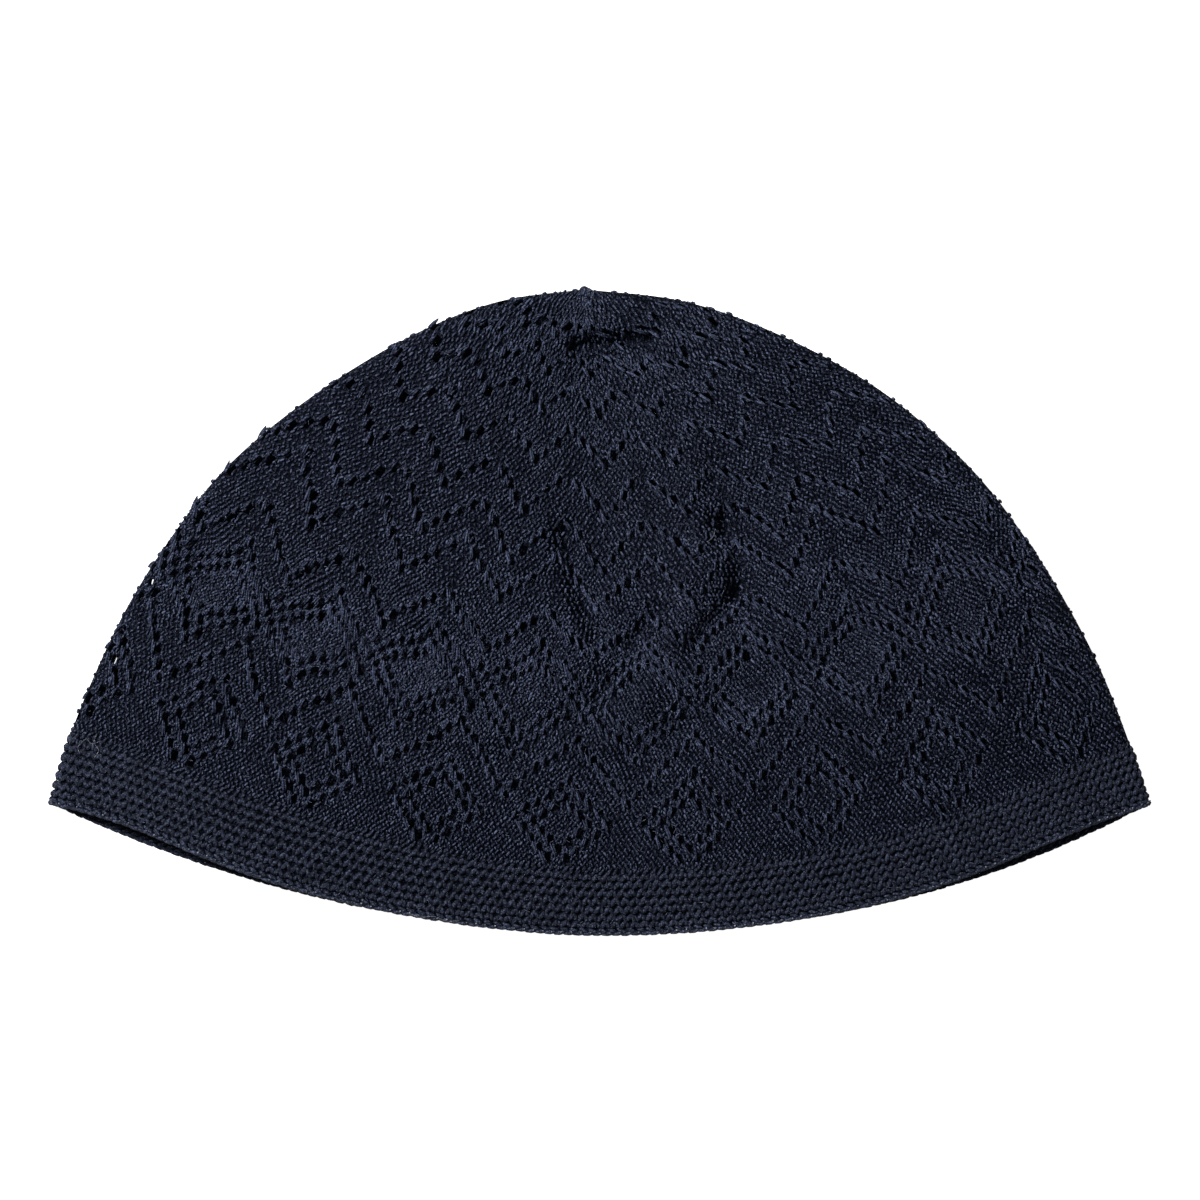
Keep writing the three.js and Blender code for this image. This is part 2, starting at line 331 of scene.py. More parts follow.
class Layer:
    """One layer of the cap as a table: rows up the wall, and even shares along each row."""

    def __init__(self, name):
        self.turn = 1 if name == "front" else -1
        self.ups = np.linspace(0, MIDDLE_LENGTH, ROWS_KEPT)
        spaced = np.linspace(-1, 1, ROUGH_COLUMNS)
        across = np.sign(spaced) * (1 - (1 - np.abs(spaced)) ** CROWDING)
        rough = cover(name, *np.meshgrid(across, self.ups))
        self.shares = np.linspace(0, 1, SHARES_KEPT)
        self.points = np.zeros((ROWS_KEPT, SHARES_KEPT, 3))
        self.plan = np.zeros((ROWS_KEPT, SHARES_KEPT))
        self.lengths = np.zeros(ROWS_KEPT)
        for r, row in enumerate(rough):
            steps = np.sqrt((np.diff(row, axis=0) ** 2).sum(1))
            along = np.concatenate([[0], np.cumsum(steps)])
            flat = np.concatenate([[0], np.cumsum(np.hypot(*np.diff(row[:, :2], axis=0).T))])
            self.lengths[r] = along[-1]
            wanted = self.shares * along[-1]
            for i in range(3):
                self.points[r, :, i] = np.interp(wanted, along, row[:, i])
            self.plan[r] = np.interp(wanted, along, flat) / max(flat[-1], 1e-9) * 2 - 1
        self.points[..., :2] += SHIFT
        sideways = np.gradient(self.points, axis=1)
        upward = np.gradient(self.points, axis=0)
        outward = np.cross(sideways, upward) * self.turn
        outward[-2:] = outward[-3]
        sideways[-2:] = sideways[-3]
        self.outward = outward / np.linalg.norm(outward, axis=-1, keepdims=True)
        self.sideways = sideways / np.linalg.norm(sideways, axis=-1, keepdims=True)

    def length(self, up):
        return np.interp(up, self.ups, self.lengths)

    def read(self, field, share, up):
        r = np.clip(np.asarray(up) / MIDDLE_LENGTH, 0, 1) * (ROWS_KEPT - 1)
        c = np.clip(share, 0, 1) * (SHARES_KEPT - 1)
        r0 = np.minimum(r.astype(int), ROWS_KEPT - 2)
        c0 = np.minimum(c.astype(int), SHARES_KEPT - 2)
        fr, fc = (r - r0)[..., None], (c - c0)[..., None]
        low = field[r0, c0] * (1 - fc) + field[r0, c0 + 1] * fc
        high = field[r0 + 1, c0] * (1 - fc) + field[r0 + 1, c0 + 1] * fc
        return low * (1 - fr) + high * fr

    def stand(self, share, up):
        """Places on the surface with their axes: round the cap, up the wall and outward."""
        place = self.read(self.points, share, up)
        outward = self.read(self.outward, share, up)
        outward /= np.linalg.norm(outward, axis=-1, keepdims=True)
        around = self.read(self.sideways, share, up) * self.turn
        around -= outward * (around * outward).sum(-1, keepdims=True)
        around /= np.linalg.norm(around, axis=-1, keepdims=True)
        return place, around, np.cross(outward, around), outward

    def from_fold(self, share, up):
        return np.minimum(share, 1 - share) * self.length(up)

    def round_the_cap(self, share, row):
        """Where shares of a row of the table come round the cap, as places from -2 to 2."""
        plan = np.interp(share, self.shares, self.plan[row])
        return plan if self.turn > 0 else np.where(plan > 0, 2 - plan, -2 - plan)

    def share_at(self, plan, up):
        """The share along a row of places given as -1 to 1 across its plan."""
        rows = np.clip(np.round(up / MIDDLE_LENGTH * (ROWS_KEPT - 1)), 0, ROWS_KEPT - 3).astype(int)
        share = np.zeros(len(plan))
        for row in np.unique(rows):
            chosen = rows == row
            share[chosen] = np.interp(plan[chosen], self.plan[row], self.shares)
        return share


def shift_of_part():
    """The part's origin is the middle of its footprint, so the tables are moved by this much."""
    low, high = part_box("crown")
    start = np.array(BAND_TOP + SEAM_GAP)
    left, right = (float(fold_place(side, start)[0]) for side in ("left", "right"))
    return (low.x + high.x) / 2 / MM - (left + right) / 2, high.y / MM - TIP[1]


SHIFT = shift_of_part()
LAYERS = {name: Layer(name) for name in ("front", "back")}


# ---- The chart: where the stitches and the eyelets come ----


def level(row, place):
    """Distance up the wall of a row of the lace. place runs -2 to 2 round the cap, and the folds
    are at -1 and 1."""
    left, middle, right = (between(ROW_LEVELS, key, row) for key in ("left", "middle", "right"))
    back = (left + right) / 2
    return np.interp(place, LEVEL_PLACES, [back, left, middle, right, back])


def place_of_repeat(repeat, up):
    """Where a repeat's axis comes round the cap at a height, -2 to 2."""
    first, fourth, seventh = (between(REPEATS, key, up) for key in ("first", "fourth", "seventh"))
    s = np.clip(repeat, 0, 6)
    inside = first * (s - 3) * (s - 6) / 18 - fourth * s * (s - 6) / 9 + seventh * s * (s - 3) / 18
    slope = first * (2 * s - 9) / 18 - fourth * (2 * s - 6) / 9 + seventh * (2 * s - 3) / 18
    return inside + slope * (repeat - s)


def is_eyelet(pair, row, most):
    """Whether the chart has an eyelet, at so many pairs of stitches from the corner axis."""
    away = abs(pair)
    if away > most + 0.01:
        return False
    if row + away in PEAKED_ROWS or row - away in NOTCHED_ROWS:
        return True
    reach = away + abs(row - RING_MIDDLE)
    return (reach == RING_REACH or reach == RING_REACH - 2) and row > 0


HALF_WIDTH = 120
BELOW = 20, 30  # the knitting doesn't stray below the first and above the last of these heights
ABOVE = 130, 145


def wander(place, up):
    """How far the knitting strays from its even rows, in uneven waves: round the cap, and up."""
    around = 0.30 * np.sin(61 * place + 0.21 * up) + 0.26 * np.sin(23 * place - 0.47 * up + 1.3)
    upward = 0.30 * np.sin(47 * place - 0.17 * up + 0.6) + 0.26 * np.sin(19 * place + 0.39 * up + 2.1)
    free = smooth(up, *BELOW) * (1 - smooth(up, *ABOVE))
    return around / HALF_WIDTH * free, upward * free


def split_by_layer(repeats, row):
    """Splits places of one row by layer: {layer: (share, up, which of them)}."""
    middle_up = level(row, 0.0)
    place = place_of_repeat(repeats, middle_up)
    stray = between(STRAYS, "up", row)
    up = level(row, place) + stray * (1 - np.cos(2 * np.pi * repeats)) / 2
    place = place_of_repeat(repeats, up)
    around, upward = wander(place, up)
    place, up = place + around, up + upward
    found = {}
    for layer, chosen, plan in (
        ("front", np.abs(place) <= 1, place),
        ("back", (place > 1) & (place <= 2), 2 - place),
        ("back", (place < -1) & (place > -2), -2 - place),
    ):
        share = LAYERS[layer].share_at(plan[chosen], up[chosen])
        old = found.get(layer)
        new = (share, up[chosen], np.nonzero(chosen)[0])
        found[layer] = new if old is None else tuple(np.concatenate(p) for p in zip(old, new))
    return found


def eyelets_of_chart():
    """Every eyelet: {layer: rows of share, up, arm and size}. arm is 1 on a rising arm of the chart
    and -1 on a falling one."""
    found = {"front": [], "back": []}
    for row in range(WALES - 2):
        stitches = between(REPEAT_STITCHES, "stitches", row)
        most = stitches / 4
        repeats, arms = [], []
        for n in REPEAT_NUMBERS:
            for pair in range(-int(most), int(most) + 1):
                if is_eyelet(pair, row, most):
                    repeats.append(n + 2 * pair / stitches)
                    arms.append(arm_of(pair, row))
        if not repeats:
            continue
        for layer, (share, up, which) in split_by_layer(np.array(repeats), row).items():
            sizes = chance.uniform(*EYELET_SIZES, len(share)) * between(EYELET_FULLNESS, "size", share)
            found[layer].append(np.stack([share, up, np.array(arms)[which], sizes], 1))
    return {layer: np.concatenate(rows) for layer, rows in found.items()}


def arm_of(pair, row):
    """1 where the line of eyelets rises to the right, -1 where it falls."""
    away = abs(pair)
    notched = row - away in NOTCHED_ROWS
    if not notched and row + away not in PEAKED_ROWS:
        notched = row < RING_MIDDLE
    side = 1 if pair > 0 else -1
    return side if notched else -side


def stitches_of_layer(layer):
    """Every stitch's leg: rows of share, up, and row of legs."""
    found = []
    for leg_row in range(LEG_ROWS[layer]):
        row = (leg_row + FIRST_LEG_ROW) * WALES / LEG_ROWS[layer]
        stitches = between(REPEAT_STITCHES, "stitches", row)
        count = max(round(stitches * LEGS_PER_STITCH[layer]), 3)
        half = count / 2
        stagger = (STAGGER * leg_row) % 1
        steps = np.arange(-math.floor(half), math.floor(half) + 1) + stagger
        steps = steps[(steps > -half) & (steps <= half)]
        repeats = (np.array(REPEAT_NUMBERS)[:, None] + steps / count).ravel()
        share, up, _ = split_by_layer(repeats, row)[layer]
        found.append(np.stack([share, up, np.full(len(share), leg_row)], 1))
    return np.concatenate(found)


EYELETS = eyelets_of_chart()
STITCHES = {layer: stitches_of_layer(layer) for layer in LAYERS}

BACK_DEEPER = 0.3  # the back layer's legs are pressed flat by the floor
BACK_RIB_DEPTH = 0.38  # and so are its ribs

# An eyelet of size 1, as half its width and height. Legs nearer than LEFT_OUT of that aren't made, and
# those up to DRAWN are moved out to between RIM and DRAWN.
HOLE_WIDE = 0.70
HOLE_TALL = 1.12
LEFT_OUT = 0.75
RIM = 1.3
DRAWN = 2.2
EYELET_LEAN = 93  # in degrees, and less on a rising arm, more on a falling one
ARM_LEAN = 9

# Eyelets by the folds that lie over each other, so that they are seen through: places in plan.
SEEN_THROUGH = table(
    "x y size",
    (-114.0, -12.4, 0.95),
    (-105.2, 6.2, 0.95),
    (-94.3, 20.6, 0.95),
    (-92.2, 25.0, 0.75),
    (22.6, 69.4, 0.62),
)


def nearest_on(layer, x, y):
    """The share and the distance up the wall of a place in plan."""
    points = LAYERS[layer].points
    away = np.hypot(points[..., 0] - x - SHIFT[0], points[..., 1] - y - SHIFT[1])
    row, share = np.unravel_index(np.argmin(away), away.shape)
    return LAYERS[layer].shares[share], LAYERS[layer].ups[row]


OPEN_EYELETS = {
    name: np.array([(*nearest_on(name, p["x"], p["y"]), -1, p["size"]) for p in SEEN_THROUGH])
    for name in LAYERS
}


def tree_of_places(layer, eyelets):
    """The eyelets as a tree for finding the nearest one, with the lean and the size of each."""
    places = LAYERS[layer].stand(eyelets[:, 0], eyelets[:, 1])[0]
    tree = kdtree.KDTree(len(places))
    for i, place in enumerate(places):
        tree.insert(place, i)
    tree.balance()
    return tree, np.radians(EYELET_LEAN - ARM_LEAN * eyelets[:, 2]), eyelets[:, 3]


EYELET_TREES = {
    layer: tree_of_places(layer, np.concatenate([EYELETS[layer], OPEN_EYELETS[layer]]))
    for layer in LAYERS
}
OPEN_TREE = tree_of_places("back", OPEN_EYELETS["back"])


def from_eyelet(tree, place, around, upward):
    """How places lie from the nearest eyelet: along its width, along its height, and the distance
    with 1 at the eyelet's rim."""
    found = [tree[0].find(p) for p in place]
    away = place - np.array([f[0] for f in found])
    which = [f[1] for f in found]
    lean, size = tree[1][which], tree[2][which]
    flat = (away * around).sum(1)
    tall = (away * upward).sum(1)
    along = flat * np.cos(lean) + tall * np.sin(lean)
    across = flat * np.sin(lean) - tall * np.cos(lean)
    return across, along, np.hypot(across / HOLE_WIDE, along / HOLE_TALL) / size, lean


def room_for_eyelets(layer, share, up):
    """Which stitches stay, and how far those by an eyelet are drawn aside."""
    place, around, upward, _ = LAYERS[layer].stand(share, up)
    across, along, reach, lean = from_eyelet(EYELET_TREES[layer], place, around, upward)
    kept = reach > LEFT_OUT
    wanted = np.interp(reach, [LEFT_OUT, DRAWN], [RIM, DRAWN])
    wanted = np.where(reach < DRAWN, wanted, reach)
    grow = wanted / np.maximum(reach, 1e-6) - 1
    across, along = across * grow, along * grow
    flat = along * np.cos(lean) + across * np.sin(lean)
    tall = along * np.sin(lean) - across * np.cos(lean)
    return kept, flat, tall


# ---- Building ----


def new_object(name, mesh):
    made = bpy.data.objects.new(name, mesh)
    bpy.context.scene.collection.objects.link(made)
    return made


def set_inputs(node, values):
    for label, value in values.items():
        node.inputs[label].default_value = value


def smooth_object(name, shape, material):
    """Turns a bmesh into an object with one material and smooth faces."""
    for face in shape.faces:
        face.smooth = True
    mesh = bpy.data.meshes.new(name)
    shape.to_mesh(mesh)
    shape.free()
    mesh.materials.append(material)
    return new_object(name, mesh)


FULLER = 1.12  # of a leg everywhere but at its ends


def grid(columns, rows):
    """A flat grid as a bmesh, and its points, from -0.5 to 0.5 each way."""
    shape = bmesh.new()
    bmesh.ops.create_grid(shape, x_segments=columns, y_segments=rows, size=0.5)
    return shape, np.array([vert.co for vert in shape.verts])


def move_to(shape, places):
    for vert, place in zip(shape.verts, places * MM):
        vert.co = place


def spindle(name, sides, rings, droop, material):
    """One leg of a stitch: a fat thread end to end along Y, one unit long, wide and high."""
    shape = bmesh.new()
    bmesh.ops.create_uvsphere(shape, u_segments=sides, v_segments=rings, radius=0.5, calc_uvs=True)
    for vert in shape.verts:
        x, y, z = vert.co
        fuller = 1.0 if abs(z) > 0.49 else FULLER
        vert.co = (x * fuller, z, y * fuller - droop * (2 * z) ** 2)
    bmesh.ops.recalc_face_normals(shape, faces=shape.faces)
    return smooth_object(name, shape, material)


def instancing_nodes(name, leg):
    """Puts the leg on each point with the point's own turn and size, as real mesh."""
    tree = bpy.data.node_groups.new(name, "GeometryNodeTree")
    tree.interface.new_socket("Points", in_out="INPUT", socket_type="NodeSocketGeometry")
    tree.interface.new_socket("Stitches", in_out="OUTPUT", socket_type="NodeSocketGeometry")
    node, link = tree.nodes.new, tree.links.new
    entry, leave = node("NodeGroupInput"), node("NodeGroupOutput")
    place = node("GeometryNodeInstanceOnPoints")
    shape = node("GeometryNodeObjectInfo")
    set_inputs(shape, {"Object": leg, "As Instance": True})
    real = node("GeometryNodeRealizeInstances")
    for label, socket in (("turn", "Rotation"), ("size", "Scale")):
        named = node("GeometryNodeInputNamedAttribute")
        named.data_type = "FLOAT_VECTOR"
        named.inputs["Name"].default_value = label
        link(named.outputs["Attribute"], place.inputs[socket])
    link(entry.outputs["Points"], place.inputs["Points"])
    link(shape.outputs["Geometry"], place.inputs["Instance"])
    link(place.outputs["Instances"], real.inputs["Geometry"])
    link(real.outputs["Geometry"], leave.inputs["Stitches"])
    return tree


def angles_of(across, along, outward):
    """Euler angles of the turn that takes X to across, Y to along and Z to outward."""
    x = np.arctan2(along[:, 2], outward[:, 2])
    y = -np.arcsin(np.clip(across[:, 2], -1, 1))
    z = np.arctan2(across[:, 1], across[:, 0])
    return np.stack([x, y, z], 1)


def knit(name, leg, legs):
    """One mesh of many legs. Each entry of legs is a dictionary of arrays for one group of them."""
    joined = {key: np.concatenate([group[key] for group in legs]) for key in legs[0]}
    place = joined.pop("place") * MM
    joined["size"] *= MM
    mesh = bpy.data.meshes.new(name + "_points")
    mesh.vertices.add(len(place))
    mesh.vertices.foreach_set("co", place.astype(np.float32).ravel())
    for label, values in joined.items():
        kind, key = ("FLOAT", "value") if values.ndim == 1 else ("FLOAT_VECTOR", "vector")
        attribute = mesh.attributes.new(label, kind, "POINT")
        attribute.data.foreach_set(key, values.astype(np.float32).ravel())
    source = new_object(name + "_source", mesh)
    modifier = source.modifiers.new("stitches", "NODES")
    modifier.node_group = instancing_nodes(name + "_nodes", leg)
    bpy.context.view_layer.update()
    ready = source.evaluated_get(bpy.context.evaluated_depsgraph_get())
    made = new_object(name, bpy.data.meshes.new_from_object(ready))
    made.data.name = name
    bpy.data.objects.remove(source)
    return made


WORN_TONES = 1.1, 1.5  # a tone over 1 is that of a worn, lighter stitch
UNEVEN_ANGLE = 6  # how uneven the legs are: in degrees, in millimetres, and as a share of their size
UNEVEN_PLACE = 0.06
UNEVEN_SIZE = 0.07


def legs_at(
    layer, share, up, angle, length, width, height, depth, shift=(0, 0), loose=1, tones=(0, 1), worn=0
):
    """Legs on the surface. angle is from the way round the cap, in degrees, depth how far the middle
    of a leg lies under the outer surface, and worn the share of worn stitches."""
    share, up = np.asarray(share, float), np.asarray(up, float)
    count = len(share)
    place, around, upward, outward = LAYERS[layer].stand(share, up)
    turned = np.radians(angle + chance.normal(0, UNEVEN_ANGLE * loose, count))[:, None]
    along = around * np.cos(turned) + upward * np.sin(turned)
    across = np.cross(along, outward)
    shaken = chance.normal(0, UNEVEN_PLACE * loose, (count, 3))
    place = place + around * (shift[0] + shaken[:, :1]) + upward * (shift[1] + shaken[:, 1:2])
    deeper = 0.0 if layer == "front" else BACK_DEEPER
    place = place - outward * (depth + deeper + shaken[:, 2:])
    vary = 1 + chance.normal(0, UNEVEN_SIZE * loose, (count, 3))
    return {
        "place": place,
        "turn": angles_of(across, along, outward),
        "size": np.stack([width * vary[:, 0], length * vary[:, 1], height * vary[:, 2]], 1),
        "tone": np.where(
            chance.random(count) < worn,
            chance.uniform(*WORN_TONES, count),
            chance.uniform(*tones, count),
        ),
    }


# ---- Yarn ----

NAVY_DEEP = (0.0040, 0.0056, 0.0130, 1)
NAVY = (0.0192, 0.0240, 0.0480, 1)
# The lighter colour of worn stitches, used also for the painted glints.
NAVY_WORN_AND_GLINT = (0.106, 0.126, 0.204, 1)
PALE_COLORS = ((0.05, 0.055, 0.07, 1), (0.16, 0.17, 0.20, 1), (0.40, 0.42, 0.45, 1))
FLUFF_COLORS = ((0.03, 0.036, 0.06, 1), (0.09, 0.105, 0.16, 1), (0.22, 0.24, 0.31, 1))
# Painted light: the yarn glows faintly by emission, in place of the light its fibres scatter into their
# own shade.
FIBRE_GLOW = (0.0004, 0.0005, 0.0008, 1)  # the faint light that yarn fibres scatter into their own shade
SHEEN = (0.72, 0.80, 1.0, 1)
RELIEF = 0.00035  # the depth of fibres and twist, in metres


def map_range(tree, source, *limits):
    node = tree.nodes.new("ShaderNodeMapRange")
    set_inputs(node, dict(zip(("From Min", "From Max", "To Min", "To Max"), limits)))
    tree.links.new(source, node.inputs["Value"])
    return node.outputs["Result"]


def math_node(tree, operation, first, second, clamp=False):
    """The second value may be a plain number."""
    node = tree.nodes.new("ShaderNodeMath")
    node.operation = operation
    node.use_clamp = clamp
    tree.links.new(first, node.inputs[0])
    if isinstance(second, float):
        node.inputs[1].default_value = second
    else:
        tree.links.new(second, node.inputs[1])
    return node.outputs["Value"]


def mix_colors(tree, factor, first, second):
    node = tree.nodes.new("ShaderNodeMix")
    node.data_type = "RGBA"
    tree.links.new(factor, node.inputs["Factor"])
    tree.links.new(first, node.inputs["A"])
    tree.links.new(second, node.inputs["B"])
    return node.outputs["Result"]


def yarn_group():
    """Shared look of the yarn: fibres, twist, small differences from stitch to stitch, painted glints and
    broad patches of painted sheen.
    """
    tree = bpy.data.node_groups.new("yarn_look", "ShaderNodeTree")
    for label, kind, default in (
        ("Deep", "Color", NAVY_DEEP),
        ("Main", "Color", NAVY),
        ("Worn and glint", "Color", NAVY_WORN_AND_GLINT),
        ("Twist", "Float", 1.0),
    ):
        socket = tree.interface.new_socket(label, in_out="INPUT", socket_type="NodeSocket" + kind)
        socket.default_value = default
    for label, kind in (("Color", "Color"), ("Height", "Float"), ("Roughness", "Float")):
        tree.interface.new_socket(label, in_out="OUTPUT", socket_type="NodeSocket" + kind)
    node, link = tree.nodes.new, tree.links.new
    entry, leave = node("NodeGroupInput"), node("NodeGroupOutput")
    place = node("ShaderNodeTexCoord")
    named = node("ShaderNodeAttribute")
    named.attribute_name = "tone"
    tone = named.outputs["Fac"]

    def texture(kind, source, **values):
        made = node(kind)
        set_inputs(made, values)
        link(place.outputs[source], made.inputs["Vector"])
        return made

    fibre = texture("ShaderNodeTexNoise", "Object", Scale=2400, Detail=4, Roughness=0.65).outputs["Fac"]
    sheen_patches = texture("ShaderNodeTexNoise", "Object", Scale=90, Detail=4).outputs["Fac"]
    strands = texture("ShaderNodeTexWave", "UV", Scale=1.6, Distortion=1.2)
    strands.bands_direction = "DIAGONAL"

    spread = map_range(tree, fibre, 0.40, 0.60, -0.92, 0.55)
    patchy = math_node(tree, "ADD", tone, spread, clamp=True)
    base = mix_colors(tree, patchy, entry.outputs["Deep"], entry.outputs["Main"])
    # Painted glints: where the fine fibre noise is high, the colour goes towards the light worn colour;
    # partly lighter fibres, partly painted highlights.
    glints = map_range(tree, fibre, 0.52, 0.64, 0.0, 1.0)
    over = math_node(tree, "SUBTRACT", tone, 1.0, clamp=True)
    light = math_node(tree, "ADD", glints, over, clamp=True)
    worn_and_glinted = mix_colors(tree, light, base, entry.outputs["Worn and glint"])
    # Painted sheen: the colour is made lighter and darker in broad random patches, for the yarn's uneven
    # sheen.
    sheen_scale = map_range(tree, sheen_patches, 0.0, 1.0, 0.85, 1.18)
    final = node("ShaderNodeVectorMath")
    final.operation = "SCALE"
    link(worn_and_glinted, final.inputs["Vector"])
    link(sheen_scale, final.inputs["Scale"])
    link(final.outputs["Vector"], leave.inputs["Color"])

    twist = math_node(tree, "MULTIPLY", strands.outputs["Fac"], entry.outputs["Twist"])
    link(math_node(tree, "ADD", twist, fibre), leave.inputs["Height"])
    rough = map_range(tree, fibre, 0.0, 1.0, 0.55, 0.9)
    link(rough, leave.inputs["Roughness"])
    return tree


YARN_LOOK = yarn_group()


def new_material(name):
    material = bpy.data.materials.new(name)
    material.use_nodes = True
    return material, material.node_tree, material.node_tree.nodes["Principled BSDF"]


def yarn(name, lift, bump, gloss=0.25, colors=(NAVY_DEEP, NAVY, NAVY_WORN_AND_GLINT)):
    """A copy of the yarn's material. lift makes it lighter or darker: below 1 the copy is darkened as
    painted shade.
    """
    material, tree, shader = new_material(name)
    look = tree.nodes.new("ShaderNodeGroup")
    look.node_tree = YARN_LOOK
    for label, color in zip(("Deep", "Main", "Worn and glint"), colors):
        look.inputs[label].default_value = [c * lift for c in color[:3]] + [1]
    relief = tree.nodes.new("ShaderNodeBump")
    set_inputs(relief, {"Strength": bump, "Distance": RELIEF})
    link = tree.links.new
    link(look.outputs["Color"], shader.inputs["Base Color"])
    link(look.outputs["Roughness"], shader.inputs["Roughness"])
    link(look.outputs["Height"], relief.inputs["Height"])
    link(relief.outputs["Normal"], shader.inputs["Normal"])
    set_inputs(shader, {"Specular IOR Level": gloss, "Specular Tint": SHEEN})
    # Painted light: a faint glow on the yarn.
    set_inputs(shader, {"Emission Color": FIBRE_GLOW, "Emission Strength": 1.0})
    return material


LACE_YARN = yarn("lace_yarn", 1.0, 0.5)
# Painted shade: the band's and the edge's yarn are the lace's yarn made darker; the tip's knot shares the
# edge's.
BAND_YARN = yarn("band_yarn", 0.57, 0.6)
EDGE_YARN = yarn("edge_yarn", 0.74, 0.5)
# Painted shade: the grounds are the yarn made near black, and the back's darker still, for the shade
# between and under the legs.
GROUND_PAINTED_SHADE = yarn("ground_painted_shade", 0.18, 0.3, 0.02)
SHADE_YARN = yarn("shade_yarn", 0.08, 0.3, 0.02)
PALE_YARN = yarn("pale_yarn", 1.0, 0.2, 0.25, PALE_COLORS)
FLUFF_YARN = yarn("fluff_yarn", 1.0, 0.2, 0.25, FLUFF_COLORS)


def part_of_cap(obj, slot, *nodes):
    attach(obj, "root")
    if nodes:
        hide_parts(*nodes)
    return obj


# ---- Lace: the legs of the stitches ----

LEG = spindle("leg_shape", 4, 3, 0.10, LACE_YARN)
SLIM_LEG = spindle("slim_leg_shape", 3, 3, 0.10, LACE_YARN)
LONG_LEG = spindle("long_leg_shape", 4, 4, 0.06, LACE_YARN)
BAND_LEG = spindle("band_leg_shape", 5, 4, 0.12, BAND_YARN)
EDGE_LEG = spindle("edge_leg_shape", 5, 4, 0.12, EDGE_YARN)
PALE_LEG = spindle("pale_leg_shape", 4, 3, 0.0, PALE_YARN)
FLUFF_LEG = spindle("fluff_leg_shape", 3, 3, 0.25, FLUFF_YARN)

# The rows of legs rise and fall by turns. One of the two kinds catches the light: the falling one on
# the right half of the front, and the rising one elsewhere.
# Their tones paint it too: the dim kind lies deeper and is given darker tones, painted shade.
LIGHT_RISING, LIGHT_FALLING, DIM_RISING, DIM_FALLING = table(
    "angle length width depth tones",
    (62, 1.34, 0.54, 0.30, (0.12, 1.08)),
    (119, 1.40, 0.54, 0.30, (0.12, 1.08)),
    (64, 1.10, 0.48, 0.50, (0.0, 0.6)),
    (114, 1.10, 0.48, 0.50, (0.0, 0.6)),
)
LEG_HEIGHT = 0.66
LEG_LOOSE = 1.4
WORN_SHARE = 0.06
GATHERED = 98, 128  # the heights between which the wall is drawn together towards the tip
GATHERED_LONGER = 0.6
STRAIGHTER = 0.7
UPRIGHT = {"left": 80, "right": 106}  # the way of the gathered legs in plan, in degrees
TO_UPRIGHT = 0.6


def lace_legs(layer, side):
    """The legs on one half of a layer."""
    on_left = STITCHES[layer][:, 0] <= 0.5
    legs = STITCHES[layer][on_left if side == "left" else ~on_left]
    kept, flat, tall = room_for_eyelets(layer, legs[:, 0], legs[:, 1])
    groups = []
    fuller = LEG_ROWS["front"] / LEG_ROWS[layer]
    falls = side == "right" and layer == "front"
    kinds = (DIM_RISING, LIGHT_FALLING) if falls else (LIGHT_RISING, DIM_FALLING)
    for parity, kind in enumerate(kinds):
        chosen = kept & (legs[:, 2] % 2 == parity)
        share, up = legs[chosen, 0], legs[chosen, 1]
        shift = (flat[chosen, None], tall[chosen, None])
        gathered = smooth(up, *GATHERED)
        lean = kind["angle"] + (90 - kind["angle"]) * STRAIGHTER * gathered
        if layer == "front":
            axis = LAYERS[layer].stand(share, up)[2]
            turned = UPRIGHT[side] - np.degrees(np.arctan2(axis[:, 1], axis[:, 0]))
            lean += turned * TO_UPRIGHT * gathered
        long = (kind["length"] + GATHERED_LONGER * gathered) * fuller
        sizes = long, kind["width"] * fuller, LEG_HEIGHT, kind["depth"]
        group = legs_at(layer, share, up, lean, *sizes, shift, LEG_LOOSE, kind["tones"], WORN_SHARE)
        # Painted light and shade: the flanks are made lighter halfway up the wall, and the middle darker
        # towards the tip, as the light falls.
        middle = smooth(share, 0.12, 0.4)
        group["tone"] += 0.15 * smooth(up, 50, 80) * (1 - middle) - 0.25 * smooth(up, 84, 118) * middle
        groups.append(group)
    return groups


for layer in LAYERS:
    for side in ("left", "right"):
        name = f"lace_{layer}_{side}"
        shape = LEG if layer == "front" else SLIM_LEG
        part_of_cap(knit(name, shape, lace_legs(layer, side)), "lace_knit")


# The drawn-out stitches beside the eyelets: ribs along the falling arms (-1), loops along the rising
# ones (1), and a short arch over every eyelet (0).
# The tones paint light and shade: the raised rib is lighter, a painted highlight, and the deeper strands
# and arches darker, painted shade.
BRIGHT = 0.75, 1.18
PLAIN = 0.35, 1.05
DIM = 0.1, 0.8
STRANDS = table(
    "arm angle long wide deep at tones",
    (-1, 107, 3.7, 0.50, -0.15, (-1.16, 0.02), BRIGHT),
    (-1, 111, 3.1, 0.40, 0.04, (-0.82, 0.10), PLAIN),
    (1, 70, 2.6, 0.44, 0.04, (-1.14, 0.30), PLAIN),
    (1, 78, 2.4, 0.40, 0.10, (-0.80, 0.36), PLAIN),
    (-1, 106, 2.0, 0.44, 0.30, (0.94, 0.0), DIM),
    (1, 78, 1.9, 0.44, 0.30, (0.94, 0.0), DIM),
    (0, 152, 1.2, 0.44, 0.45, (0.12, 1.40), DIM),
)
STRAND_HEIGHT = 0.7
STRANDS_FROM_FOLD = 2.6


